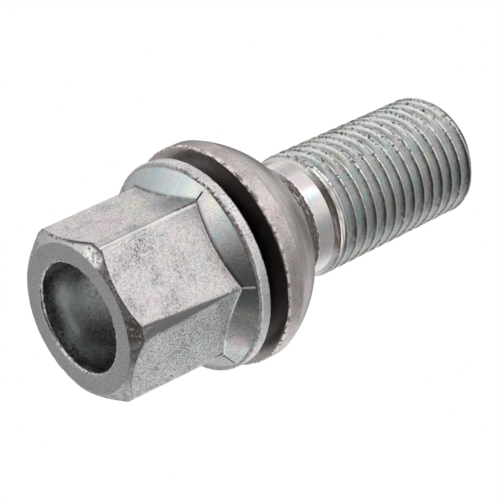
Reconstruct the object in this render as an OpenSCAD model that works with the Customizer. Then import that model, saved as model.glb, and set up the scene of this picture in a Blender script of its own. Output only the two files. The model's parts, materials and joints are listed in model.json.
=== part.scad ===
// Wheel bolt with a hollow hexagon head, a flange and a loose ball-seat ring.
// It stands on its head: the end face lies on z = 0 and the thread points up.

/* [Head] */
// Width across the flats, the size of the socket that turns the bolt
across_flats = 17; // [16:0.1:19]
// Height of the flats at their middle, up to the foot of the flare
flat_h = 12.6; // [10:0.1:14]
// Height from the end face to the flange's underside
head_h = 15.5; // [15:0.1:20]
// How far each corner of the hexagon is rounded off, along its radius
corner_break = 0.2; // [0.05:0.05:0.6]
// How far inside the flats the end face stops
end_inset = 0.4; // [0.1:0.05:0.8]
// Slope of the chamfer round the end face, against that face
end_slope = 35; // [20:1:45]

/* [Hollow] */
// Bore of the blind hollow in the head
hollow_d = 11.7; // [8:0.1:12.5]
// Depth of the hollow's straight wall
hollow_depth = 11; // [4:0.5:12]
// Height of the hollow's pointed floor
hollow_point_h = 1.8; // [0.5:0.1:2.5]
// Broken edge at the hollow's mouth
hollow_lip = 0.2; // [0.1:0.05:0.5]

/* [Flange] */
// Diameter of the flange
flange_d = 23; // [22.5:0.1:24]
// Height of the flange's rim
rim_h = 1.35; // [0.9:0.05:2]
// Rounding of the rim's edges
rim_round = 0.25; // [0.1:0.05:0.4]
// Half-angle of the cone that forms each facet of the flare
flare_angle = 57.5; // [50:0.5:62]
// How far each facet's cone stands off the axis, away from its facet
flare_offset = 2.5; // [1:0.1:4]

/* [Seat] */
// Diameter at which the cone under the flange starts
seat_d = 20.6; // [18:0.1:21.5]
// Slope of that cone, against the axis
seat_angle = 45; // [40:1:50]
// Play between the cone and the ring that rests on it, along the axis
seat_play = 0.03; // [0.01:0.01:0.1]

/* [Shank] */
// Diameter of the smooth shank
shank_d = 13; // [12.6:0.1:13.2]
// Length from the flange's underside to the first thread
shank_len = 13.8; // [12.5:0.1:25]
// Fillet between the cone and the shank
neck_fillet = 0.8; // [0.2:0.1:0.8]

/* [Thread] */
// Outside diameter of the thread
thread_d = 14; // [13.8:0.1:14.4]
// Pitch of the thread
pitch = 1.5; // [1:0.05:1.75]
// Length of the thread, with its run-out and its chamfered tip
thread_len = 22.3; // [12:0.1:40]
// Length of the run-out, where the shank swells to the first crest
runout_len = 0.9; // [0.4:0.1:1.5]
// Height of the chamfer at the tip
tip_chamfer = 1.1; // [0.5:0.1:2]

/* [Ring] */
// Outside diameter of the loose ring
ring_d = 24.3; // [23:0.1:25.4]
// Radius of the ring's ball seat
ball_r = 13; // [12.8:0.1:14]
// Height of the ring
ring_h = 8; // [7:0.1:9]
// Diameter of the ring's nose, where the ball seat ends
nose_d = 14.7; // [14.5:0.1:16]
// Clearance between the ring and the shank, on the radius
ring_clearance = 0.35; // [0.2:0.01:0.4]
// Gap between the flange's underside and the ring's back
back_gap = 1.8; // [1:0.1:2.6]
// Chamfer round the ring's back
back_chamfer = 0.3; // [0.1:0.05:0.5]

/* [Hidden] */
$fn = 96;

zinc = [0.72, 0.73, 0.72];
bare_steel = [0.70, 0.66, 0.63];

// The hexagon and its end chamfer
flat_r = across_flats / 2;
corner_r = flat_r / cos(30) - corner_break;
face_r = flat_r - end_inset;
chamfer_h = (corner_r - face_r) * tan(end_slope);

// The flare and the flange
flange_r = flange_d / 2;
rim_z = head_h - rim_h;
flare_overlap = 0.5;
flare_foot_z = flat_h - flare_overlap;
flare_top_z = rim_z + rim_h / 2;
flare_spread = tan(flare_angle);

// The cone, the shank and the thread
seat_r = seat_d / 2;
shank_r = shank_d / 2;
seat_run = tan(seat_angle);
neck_z = head_h + (seat_r - shank_r) / seat_run;
thread_z = head_h + shank_len;
tip_z = thread_z + thread_len;

// Thread section after the metric profile: depth, crest and flank
thread_r = thread_d / 2;
root_r = thread_r - 0.6134 * pitch;
crest_half = pitch / 16;
flank_run = (thread_r - root_r) * tan(30);
runout_z = thread_z + runout_len;
first_crest_z = runout_z + pitch / 4;
crests = floor((tip_z - tip_chamfer - first_crest_z) / pitch) + 1;

// The ring, from its back upwards
ring_r = ring_d / 2;
ring_bore_r = shank_r + ring_clearance;
nose_r = nose_d / 2;
back_z = head_h + back_gap;
nose_z = back_z + ring_h;
ball_z = nose_z - sqrt(pow(ball_r, 2) - pow(nose_r, 2));

// Radius of the cone under the flange at a height
function seat_cone_r(z) = seat_r - (z - head_h) * seat_run;

// Hexagon with its flats at the top and bottom of the drawing
module hexagon() {
    circle(r = flat_r / cos(30), $fn = 6);
}

// What rounding an outside corner takes off, with the corner at the origin
module corner_cut(r) {
    translate([-r, -r])
        difference() {
            square(2 * r);
            circle(r = r);
        }
}

// Outline that turns the hexagon's end face, chamfer and corners
module head_outline() {
    polygon([
        [0, 0],
        [face_r, 0],
        [corner_r, chamfer_h],
        [corner_r, flare_top_z],
        [0, flare_top_z]
    ]);
}

module hex_head() {
    intersection() {
        linear_extrude(flare_top_z)
            hexagon();
        rotate_extrude()
            head_outline();
    }
}

// One facet of the flare: a cone whose axis stands behind the bolt's own
module flare_cone(angle) {
    foot_r = flat_r + flare_offset - flare_overlap * flare_spread;
    top_r = foot_r + (flare_top_z - flare_foot_z) * flare_spread;
    rotate(angle)
        translate([-flare_offset, 0, flare_foot_z])
            cylinder(h = flare_top_z - flare_foot_z, r1 = foot_r, r2 = top_r);
}

// Six cone facets that spread from the flats and end inside the flange's rim
module flare() {
    intersection() {
        cylinder(h = flare_top_z, r = flange_r - rim_round);
        flare_cone(30);
        flare_cone(90);
        flare_cone(150);
        flare_cone(210);
        flare_cone(270);
        flare_cone(330);
    }
}

// Half section of the flange, with its rounded rim
module flange_outline() {
    difference() {
        translate([0, rim_z])
            square([flange_r, rim_h]);
        translate([flange_r, head_h])
            corner_cut(rim_round);
        translate([flange_r, rim_z])
            mirror([0, 1])
                corner_cut(rim_round);
    }
}

// What a fillet adds between the cone and the shank, with their corner at the origin
module neck_filling() {
    run = neck_fillet * tan(seat_angle / 2);
    difference() {
        polygon([
            [run * sin(seat_angle), -run * cos(seat_angle)],
            [0, run],
            [-run, 0]
        ]);
        translate([neck_fillet, run])
            circle(r = neck_fillet);
    }
}

// Half section of the cone, its fillet and the shank
module neck_outline() {
    polygon([
        [0, head_h],
        [seat_r, head_h],
        [shank_r, neck_z],
        [shank_r, thread_z],
        [0, thread_z]
    ]);
    translate([shank_r, neck_z])
        neck_filling();
}

// The two sides of a thread ridge whose crest lies at a height, in half section
function ridge_start(z) = [[root_r, z - crest_half - flank_run], [thread_r, z - crest_half]];
function ridge_end(z) = [[thread_r, z + crest_half], [root_r, z + crest_half + flank_run]];

// Half section of the thread, drawn as rings of the thread's own section and
// pitch: the run-out and its wide first crest, the ridges and the chamfered tip
module thread_outline() {
    tip_r = thread_r - tip_chamfer;
    runout = concat([[0, thread_z], [shank_r, thread_z], [thread_r, runout_z]], ridge_end(first_crest_z));
    ridges = [
        for (i = [1:crests - 1])
            let (z = first_crest_z + i * pitch)
                each concat(ridge_start(z), ridge_end(z))
    ];
    intersection() {
        polygon(concat(runout, ridges, [[root_r, tip_z], [0, tip_z]]));
        polygon([
            [0, thread_z],
            [thread_r, thread_z],
            [thread_r, tip_z - tip_chamfer],
            [tip_r, tip_z],
            [0, tip_z]
        ]);
    }
}

// Half section of the blind hollow, cut a little past the end face
module hollow_outline() {
    hollow_r = hollow_d / 2;
    past = 1;
    polygon([
        [0, -past],
        [hollow_r + hollow_lip + past, -past],
        [hollow_r, hollow_lip],
        [hollow_r, hollow_depth],
        [0, hollow_depth + hollow_point_h]
    ]);
}

// The bolt is one forging: head, flare, flange, cone, shank and thread
module bolt() {
    color(zinc)
        difference() {
            union() {
                hex_head();
                flare();
                rotate_extrude()
                    union() {
                        flange_outline();
                        neck_outline();
                        thread_outline();
                    }
            }
            rotate_extrude()
                hollow_outline();
        }
}

// Half section of the ring: ball seat outside, cone and bore inside
module ring_outline() {
    mouth_r = seat_cone_r(back_z - seat_play);
    bore_z = back_z + (mouth_r - ring_bore_r) / seat_run;
    difference() {
        intersection() {
            translate([0, ball_z])
                circle(r = ball_r);
            translate([ring_bore_r, back_z])
                square([ring_r - ring_bore_r, ring_h]);
        }
        polygon([
            [ring_bore_r, back_z],
            [mouth_r, back_z],
            [ring_bore_r, bore_z]
        ]);
        polygon([
            [ring_r - back_chamfer, back_z],
            [ring_r, back_z],
            [ring_r, back_z + back_chamfer]
        ]);
    }
}

// The loose ring, resting on the cone under the flange
module seat_ring() {
    color(bare_steel)
        rotate_extrude()
            ring_outline();
}

bolt();
seat_ring();
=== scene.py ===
"""Finishes the wheel bolt: worn zinc forging, rolled right-hand thread and bare ball-seat ring."""

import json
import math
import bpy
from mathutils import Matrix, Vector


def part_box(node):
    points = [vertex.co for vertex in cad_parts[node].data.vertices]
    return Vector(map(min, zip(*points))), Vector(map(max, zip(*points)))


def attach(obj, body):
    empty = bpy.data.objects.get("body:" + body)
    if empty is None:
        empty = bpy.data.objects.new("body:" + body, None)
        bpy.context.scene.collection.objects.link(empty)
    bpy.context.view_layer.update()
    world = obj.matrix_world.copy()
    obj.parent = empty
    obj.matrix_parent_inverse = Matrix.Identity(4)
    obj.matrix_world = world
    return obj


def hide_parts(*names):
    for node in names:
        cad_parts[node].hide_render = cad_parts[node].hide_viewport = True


bl_info = {
    "name": "Wheel bolt",
    "version": (1, 0, 0),
    "blender": (4, 5, 0),
    "location": "3D View > Sidebar > Wheel bolt",
    "description": "Builds the worn wheel bolt and its loose ball-seat ring on the packed model",
    "category": "Object",
}

import bmesh
import bpy
import numpy as np
from bpy.props import FloatProperty, FloatVectorProperty, IntProperty, PointerProperty
from mathutils import Matrix, Vector, noise

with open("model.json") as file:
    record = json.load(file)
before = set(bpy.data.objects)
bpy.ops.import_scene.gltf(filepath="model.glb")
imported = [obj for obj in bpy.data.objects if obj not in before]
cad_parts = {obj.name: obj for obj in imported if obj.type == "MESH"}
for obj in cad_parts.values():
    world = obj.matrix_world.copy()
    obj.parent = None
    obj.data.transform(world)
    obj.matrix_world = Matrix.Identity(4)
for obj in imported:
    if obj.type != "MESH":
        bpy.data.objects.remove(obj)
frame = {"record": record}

MM = 0.001
BOLT_LOW, BOLT_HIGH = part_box("bolt")
RING_LOW, RING_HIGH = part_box("seat_ring")
FLAT_ANGLES = [30, 90, 150, 210, 270, 330]
# Angles of the corners that were hit, and how many degrees the damage reaches to each side
BATTERED_CORNERS = np.array([60, 236, 300])
BATTERED_REACH = 11
# Height near which the end chamfer meets the flats
CHAMFER_TOP = 0.6 * MM
# How far the finer rings reach below and above the flare's foot
FOOT_REACH = 0.28 * MM
# Middle and half height of the band on the shank that the ring's nose rubs
RUB_MIDDLE, RUB_REACH = 26.1 * MM, 0.9 * MM
# Up to this height the forging counts as its battered end
BATTERED_TOP = 3 * MM
# Edges that bend more than this stay sharp in the forging and the ring, and at the thread's tip
SHARP_ANGLE, SHARP_TIP_ANGLE = math.radians(24), math.radians(35)
# Rows of the thread's grid per pitch, and where crest, flank and root end, from the crest's middle
ROWS = 12
CREST_END, FLANK_END, ROOT_END = 1 / ROWS, 4 / ROWS, 6 / ROWS
# How much of its metallic look a full crust takes away, and a full painted highlight or gleam
# passed in the same place
CRUST_MATT = 0.8
# Tints that wear and the film's thickness give in single places; the whites of the glints, the
# corner line, the first crest, the ridge, the hollow's gleam and the thread's upper side are
# painted highlights, and the ring's worn edges are partly painted highlight
GLINT_WHITE = (1.0, 0.97, 0.94)
EDGE_HIGHLIGHT_WHITE = (1.0, 0.98, 0.97)
FIRST_CREST_HIGHLIGHT = (1.0, 0.99, 0.96)
WORN_EDGE_HIGHLIGHT = (1.0, 0.93, 0.89)
GOLDEN = (1.0, 0.95, 0.82)
VIOLET = (0.80, 0.78, 0.92)
MINT = (0.76, 0.92, 0.85)
RIM_WHITE = (0.97, 0.96, 0.97)
RIDGE_HIGHLIGHT_WHITE = (0.95, 0.95, 0.94)
GLEAM_WHITE = (0.93, 0.96, 1.0)
THREAD_HIGHLIGHT_WHITE = (1.0, 1.0, 1.0)
# Lamps: azimuth, elevation, size, power and whether the metal mirrors them
LAMPS = {
    "soft_lamp": (-60, 55, 0.3, 1.0, False),
    "window": (-114, 37, 0.15, 0.035, True),
}
LAMP_DISTANCE = 0.5
# Soft dark places in what the metal reflects: azimuth, elevation, reach, fade and depth
DARK_PLACES = {
    "camera": (-85, -36, 14, 26, 0.8),
    "under the camera": (-6, -63, 13, 33, 0.94),
    "beside the camera": (-20, 38, 10, 40, 0.6),
    "low behind the head": (100, -20, 20, 40, 0.5),
    "high behind the head": (102, 46, 12, 19, 0.8),
    "overhead": (40, 79, 5, 16, 0.5),
    "left of the camera": (178, 36, 6, 12, 0.35),
}


def mount_radius(name):
    """Radius of one of the record's mounts, in millimetres."""
    mount = next(m for m in frame["record"]["mounts"] if m["name"] == name)
    return mount["dims"]["r_mm"]


def length(name, description, mm):
    default = mm * MM
    return FloatProperty(
        name=name, description=description, default=default, unit="LENGTH", precision=6
    )


def angle(name, description, degrees):
    default = math.radians(degrees)
    return FloatProperty(name=name, description=description, default=default, subtype="ANGLE")


def share(name, description, default):
    return FloatProperty(
        name=name, description=description, default=default, min=0, max=1, subtype="FACTOR"
    )


def colour(name, description, default):
    return FloatVectorProperty(
        name=name, description=description, default=default, size=3, min=0, max=1, subtype="COLOR"
    )


class HeadSizes(bpy.types.PropertyGroup):
    flat_radius: length("Half across flats", "Distance from the axis to a flat", 8.5)
    land_radius: length("Corner radius", "Distance from the axis to a corner, at the flare", 9.78)
    land_wear: length("Corner wear", "How much further the corners are worn at the end face", 0.46)
    end_radius: length("End face radius", "Radius at which the end face stops", 8.1)
    end_slope: angle("End chamfer", "Slope of the chamfer round the end face", 35)
    hollow_radius: length("Hollow radius", "Radius of the hollow", mount_radius("head_hollow"))
    hollow_depth: length("Hollow depth", "Depth of the hollow's straight wall", 11)
    hollow_point: length("Hollow point", "Height of the hollow's pointed floor", 1.8)
    hollow_lip: length("Hollow lip", "Rounding of the hollow's mouth", 0.28)
    flat_height: length("Flat height", "Height of the flats at their middle", 12.6)
    flare_angle: angle("Flare angle", "Half-angle of the cone that forms each facet", 57.5)
    flare_offset: length("Flare offset", "How far each facet's cone stands behind the axis", 2.5)
    flare_blend: length("Flare blend", "Softness of the corner between flats and flare", 0.18)
    corner_blend: length("Corner blend", "Softness of the worn edges beside the corners", 0.12)
    burr: length("Burr depth", "How deep the battered corners are pitted", 0.12)


class NeckSizes(bpy.types.PropertyGroup):
    flange_radius: length("Flange radius", "Radius of the flange", BOLT_HIGH.x / MM)
    flange_front: length("Flange front", "Height at which the flange's rim starts", 14.15)
    flange_back: length("Flange back", "Height of the flange's underside", 15.5)
    rim_round: length("Rim rounding", "Rounding of the flange's rim", 0.25)
    seat_radius: length("Seat radius", "Radius at which the cone under the flange starts", 10.3)
    shank_radius: length("Shank radius", "Radius of the smooth shank", 6.5)
    fillet: length("Neck fillet", "Radius of the fillet between cone and shank", 0.8)
    shank_end: length("Shank end", "Height at which the thread starts", 29.3)


class ThreadSizes(bpy.types.PropertyGroup):
    crest_radius: length("Crest radius", "Radius of the thread's crests", mount_radius("thread"))
    pitch: length("Pitch", "Distance from crest to crest", 1.5)
    depth: length("Depth", "Depth of the groove", 0.92)
    runout: length("Run-out", "Length over which the shank swells to the first crest", 0.72)
    crest_height: length("Crest height", "Height of a crest above the positive X axis", 29.54)
    tip_chamfer: length("Tip chamfer", "Height of the chamfer at the tip", 1.1)
    nick: length("Nick depth", "Deepest nick in the crests", 0.07)
    steps_round: IntProperty(
        name="Steps round", description="Faces round one turn", default=160, min=24
    )


class RingSizes(bpy.types.PropertyGroup):
    radius: length("Ring radius", "Outside radius of the ring", RING_HIGH.x / MM)
    back: length("Ring back", "Height of the ring's back", RING_LOW.z / MM)
    nose: length("Ring nose", "Height of the ring's nose", RING_HIGH.z / MM)
    nose_radius: length("Nose radius", "Radius at which the ball seat ends", 7.35)
    bore_radius: length("Bore radius", "Radius of the ring's bore", 6.85)
    mouth_radius: length("Mouth radius", "Radius of the inner cone at the ring's back", 8.53)
    ball_radius: length("Ball radius", "Radius of the ball seat", 13)
    edge: length("Edge break", "Rounding of the ring's edges", 0.18)
    nick: length("Nick depth", "Deepest nick in the nose's edge", 0.09)


class FinishColours(bpy.types.PropertyGroup):
    zinc: colour("Zinc", "Bright passivated zinc", (0.74, 0.73, 0.73))
    pink: colour("Pink film", "Pink tint of the passivation film", (0.82, 0.60, 0.69))
    straw: colour("Straw film", "Yellow tint of the passivation film", (0.84, 0.77, 0.58))
    sea: colour("Green film", "Green-blue tint of the passivation film", (0.58, 0.73, 0.75))
    pressed: colour("Pressed face", "Grey of the pressed end face", (0.54, 0.54, 0.55))
    worn: colour("Worn metal", "Rubbed edges and crests", (0.91, 0.86, 0.80))
    bright: colour("Bright flanks", "Clean zinc of the thread's flanks", (0.90, 0.92, 0.91))
    rust: colour("Rust", "Brown crust on battered edges", (0.13, 0.085, 0.065))
    # Also paints shade: it darkens creases, the flange's underside, the ring's back and other
    # shaded places.
    soot_and_shade: colour("Soot", "Dirt in pits and corners", (0.04, 0.038, 0.038))
    turned: colour("Turned steel", "Bare steel of the ring's side and back", (0.66, 0.60, 0.58))
    ball: colour("Ball seat", "Bare steel of the ring's ball seat", (0.56, 0.545, 0.51))


class StudioSettings(bpy.types.PropertyGroup):
    camera_place: FloatVectorProperty(
        name="Camera place",
        description="Where the photograph's camera stands",
        default=Vector((13.427, -160.795, -93.601)) * MM,
        subtype="TRANSLATION",
        precision=6,
    )
    camera_aim: FloatVectorProperty(
        name="Camera aim",
        description="Point at the middle of the photograph",
        default=Vector((1.183, 0.09, 22.498)) * MM,
        subtype="TRANSLATION",
        precision=6,
    )
    camera_roll: angle("Camera roll", "Turn of the camera about its own axis", 64.534)
    lens: FloatProperty(
        name="Lens", description="Focal length on a 36 mm sensor", default=135.79, unit="CAMERA"
    )
    floor_gap: length("Floor gap", "Clearance between the head's end face and the floor", 0.05)
    floor_size: length("Floor size", "Side of the square floor", 800)
    floor_colour: colour("Floor", "Pale floor", (0.90, 0.90, 0.90))
    floor_glow: share("Floor glow", "Even light of the floor, which keeps it near white", 0.38)
    daylight: FloatProperty(
        name="Daylight", description="Plain light from all round", default=0.55, min=0
    )
    walls: FloatProperty(
        name="White walls", description="Level of the walls in reflections", default=1.0, min=0
    )


def add_object(name, data):
    made = bpy.data.objects.new(name, data)
    bpy.context.scene.collection.objects.link(made)
    return made


def cosine(degrees):
    return math.cos(math.radians(degrees))


def darker(tone, level):
    return tuple(level * part for part in tone)


class Wire:
    """A node's output. Sums and products of wires and numbers add Math nodes."""

    def __init__(self, graph, socket):
        self.graph = graph
        self.socket = socket

    def math(self, operation, *others):
        return self.graph.math(operation, self, *others)

    def most(self, other):
        return self.math("MAXIMUM", other)

    def least(self, other):
        return self.math("MINIMUM", other)

    def __add__(self, other):
        return self.math("ADD", other)

    def __sub__(self, other):
        return self.math("SUBTRACT", other)

    def __rsub__(self, other):
        return self.graph.math("SUBTRACT", other, self)

    def __mul__(self, other):
        return self.math("MULTIPLY", other)

    def __truediv__(self, other):
        return self.math("DIVIDE", other)

    __radd__ = __add__
    __rmul__ = __mul__


class Graph:
    """The nodes of one material, world or geometry tree, which starts empty."""

    def __init__(self, tree):
        self.tree = tree
        tree.nodes.clear()

    def node(self, kind, settings=None, inputs=None, output=0):
        """Adds a node, sets it up, joins its inputs and gives one of its outputs."""
        made = self.tree.nodes.new(kind)
        for key, value in (settings or {}).items():
            if key == "stops":
                self.set_stops(made.color_ramp, value)
            else:
                setattr(made, key, value)
        for key, value in (inputs or {}).items():
            socket = self.find(made.inputs, key)
            if isinstance(value, Wire):
                self.tree.links.new(value.socket, socket)
            else:
                socket.default_value = value
        return Wire(self, self.find(made.outputs, output)) if len(made.outputs) else made

    def math(self, operation, *values):
        return self.node("ShaderNodeMath", {"operation": operation}, dict(enumerate(values)))

    def measure(self, operation, *vectors):
        """The number that a vector operation gives, such as a distance."""
        settings = {"operation": operation}
        return self.node("ShaderNodeVectorMath", settings, dict(enumerate(vectors)), "Value")

    @staticmethod
    def find(sockets, key):
        if isinstance(key, int):
            return sockets[key]
        return next(s for s in sockets if key in (s.identifier, s.name))

    @staticmethod
    def set_stops(ramp, stops):
        while len(ramp.elements) < len(stops):
            ramp.elements.new(0.5)
        for element, (position, tone) in zip(ramp.elements, stops):
            element.position = position
            element.color = (*tone, 1)

    def ramp(self, value, low, high, smooth=True):
        """Goes from 0 to 1 as the value goes from low to high, and holds beyond."""
        settings = {"interpolation_type": "SMOOTHSTEP" if smooth else "LINEAR", "clamp": True}
        inputs = {"Value": value, "From Min": low, "From Max": high}
        return self.node("ShaderNodeMapRange", settings, inputs)

    def parts(self, vector):
        made = self.node("ShaderNodeSeparateXYZ", inputs={"Vector": vector})
        outputs = made.socket.node.outputs
        return [Wire(self, outputs[i]) for i in range(3)]


class Finish(Graph):
    """A metal's material, with its patterns in millimetres of Object coordinates."""

    def __init__(self, name):
        self.material = bpy.data.materials.new(name)
        self.material.use_nodes = True
        super().__init__(self.material.node_tree)
        place = self.node("ShaderNodeTexCoord", output="Object")
        inputs = {"Vector": place, "Scale": 1 / MM}
        self.place = self.node("ShaderNodeVectorMath", {"operation": "SCALE"}, inputs)
        self.x, self.y, self.z = self.parts(self.place)
        self.radius = (self.x * self.x + self.y * self.y).math("SQRT")
        self.tone = None

    def grain(self, size, detail, stretch=(1, 1, 1), shift=0.0):
        """Noise from 0 to 1 whose lumps are about this many millimetres across."""
        vector = self.node(
            "ShaderNodeMapping",
            inputs={"Vector": self.place, "Location": (shift, shift, shift), "Scale": stretch},
        )
        return self.node(
            "ShaderNodeTexNoise",
            inputs={"Vector": vector, "Scale": 1 / size, "Detail": detail, "Roughness": 0.6},
        )

    def mix(self, factor, first, second):
        first, second = (t if isinstance(t, Wire) else (*t, 1) for t in (first, second))
        settings = {"data_type": "RGBA", "clamp_factor": True}
        inputs = {"Factor_Float": factor, "A_Color": first, "B_Color": second}
        return self.node("ShaderNodeMix", settings, inputs, "Result_Color")

    def lay(self, factor, tone, level=1.0):
        """Lays a colour over the tone so far, at a level of its own brightness."""
        self.tone = self.mix(factor, self.tone, tone if level == 1.0 else darker(tone, level))

    def patches(self, size, detail, low, high, **placed):
        """Noise patches from 0 to 1, with edges that rise from low to high."""
        return self.ramp(self.grain(size, detail, **placed), low, high)

    def span(self, value, start, full, held, end):
        """Rises from start to full and falls again from held to end."""
        return self.ramp(value, start, full) * self.ramp(value, end, held)

    def facing(self, degrees, reach, soft):
        """One within reach degrees of an angle round the axis, fading to zero over soft more."""
        turn = math.radians(degrees)
        across = self.x * math.cos(turn) + self.y * math.sin(turn)
        return self.ramp(across / self.radius, cosine(reach + soft), cosine(reach))

    def attribute(self, name):
        return self.node("ShaderNodeAttribute", {"attribute_name": name}, output="Fac")

    def spot(self, degrees, radius, height, reach, fade):
        """One within reach of a point given by its angle, radius and height, in millimetres."""
        turn = math.radians(degrees)
        centre = (radius * math.cos(turn), radius * math.sin(turn), height)
        return self.ramp(self.measure("DISTANCE", self.place, centre), reach + fade, reach)

    def metal(self, roughness, height, dirt=0.0, *, depth):
        """Joins the patterns to the shader. Dirt is a matt crust, which also makes painted
        highlights and gleams matt, depth the bump's millimetres.
        """
        bump = {"Strength": 1.0, "Distance": depth * MM, "Height": height}
        normal = self.node("ShaderNodeBump", inputs=bump)
        shader = self.node(
            "ShaderNodeBsdfPrincipled",
            inputs={
                "Base Color": self.tone,
                "Metallic": 1 - CRUST_MATT * dirt,
                "Roughness": roughness,
                "Normal": normal,
            },
        )
        self.node("ShaderNodeOutputMaterial", inputs={"Surface": shader})
        return self.material


def tinted(finish, colours, size, shift):
    """Colours of a passivation film whose thickness drifts."""
    stops = [
        (0.36, colours.sea),
        (0.45, colours.zinc),
        (0.5, colours.pink),
        (0.56, colours.zinc),
        (0.64, colours.straw),
    ]
    drift = finish.grain(size, 2.0, shift=shift)
    return finish.node("ShaderNodeValToRGB", {"stops": stops}, {"Fac": drift}, "Color")


def film(finish, colours, fine, coarse):
    """Zinc under its passivation film, tinted in fine grains and in wide patches."""
    tone = finish.mix(fine, colours.zinc, tinted(finish, colours, 0.19, 3.0))
    return finish.mix(coarse, tone, tinted(finish, colours, 2.2, 11.0))


def flats_zinc(colours):
    """Flats: bright, tinted in fine grains, peppered with pits, smooth grey at the corners partly
    as painted shade, with a painted shadow and highlights.
    """
    finish = Finish("flats_zinc")
    finish.tone = film(finish, colours, 0.65, 0.3)
    # Painted shadow: a soft dark patch at the foot of the top flat, by the flare.
    finish.lay(finish.spot(232, 9.3, 12.2, 0.8, 3.5) * 0.72, colours.zinc, 0.4)
    finish.lay(finish.spot(216, 8.55, 5.0, 0.8, 2.4) * 0.4, colours.pink, 1.1)
    finish.lay(finish.spot(207, 8.5, 9.4, 0.6, 2.2) * 0.35, colours.straw)
    lower = finish.facing(330, 24, 10)
    mottle = finish.patches(0.3, 4.0, 0.44, 0.66, shift=5.0)
    finish.lay(mottle * (0.22 + lower * 0.2), colours.zinc, 0.4)
    cloud = finish.patches(2.2, 4.0, 0.48, 0.66, shift=7.0)
    smudge = finish.spot(253, 8.9, 4.6, 0.4, 2.0) + finish.spot(320, 8.6, 7.5, 1.0, 3.5) * 0.7
    finish.lay(lower * 0.22, colours.sea, 0.92)
    pepper = finish.patches(0.15, 3.0, 0.52, 0.6)
    density = 0.27 + cloud * 0.2 + smudge * 0.35 + lower * 0.46 + finish.facing(210, 24, 8) * 0.22
    pits = pepper * density
    finish.lay(cloud * 0.3 + smudge * 0.25, colours.zinc, 0.45)
    finish.lay(pits, colours.soot_and_shade)
    scuffs = finish.patches(0.7, 4.0, 0.6, 0.7, stretch=(1, 1, 0.3), shift=1.0)
    finish.lay(scuffs * 0.35, colours.worn)
    land = finish.attribute("worn")
    # The corner lands are darkened, most at the 300° corner: partly matt worn metal, partly
    # painted shade.
    dull_and_shaded = 0.15 + finish.facing(300, 6, 6) * 0.75
    finish.lay(land * dull_and_shaded, colours.zinc, 0.34)
    # Painted highlight on bare worn metal: a white edge where the front flats meet the chamfer.
    lit = finish.facing(268, 22, 6) * finish.span(land, 0.1, 0.5, 0.64, 0.78)
    finish.lay(lit * scuffs.most(0.5) * 0.8, GLINT_WHITE)
    # Painted highlight: a thin white line along the 240° corner, with a painted dark line just
    # beside it.
    finish.lay(finish.facing(241.4, 0.5, 0.7) * 0.55, EDGE_HIGHLIGHT_WHITE)
    finish.lay(finish.facing(240.1, 0.25, 0.4) * 0.5, colours.zinc, 0.3)
    crumbs = finish.patches(0.35, 4.0, 0.36, 0.5, shift=9.0)
    stub = finish.facing(240.2, 0.5, 0.7) * finish.ramp(finish.z, 10.2, 11.0) * crumbs
    finish.lay(stub * 0.85, colours.rust)
    # Painted shade: a dark arch along the crease at the 0° corner.
    arch = finish.facing(357.6, 0.5, 0.5) * finish.ramp(finish.z, 11.8, 12.4)
    finish.lay(arch * 0.8, colours.soot_and_shade)
    # Dark at the flare's foot: partly dirt in the crease, partly painted shade.
    smear = finish.patches(0.8, 3.0, 0.3, 0.6, shift=6.0)
    finish.lay(finish.attribute("grime") * smear * 0.6, colours.soot_and_shade)
    height = finish.grain(0.35, 3.0) - pits
    return finish.metal(0.28 + pits * 0.25, height, pits * 0.4, depth=0.022)


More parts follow.
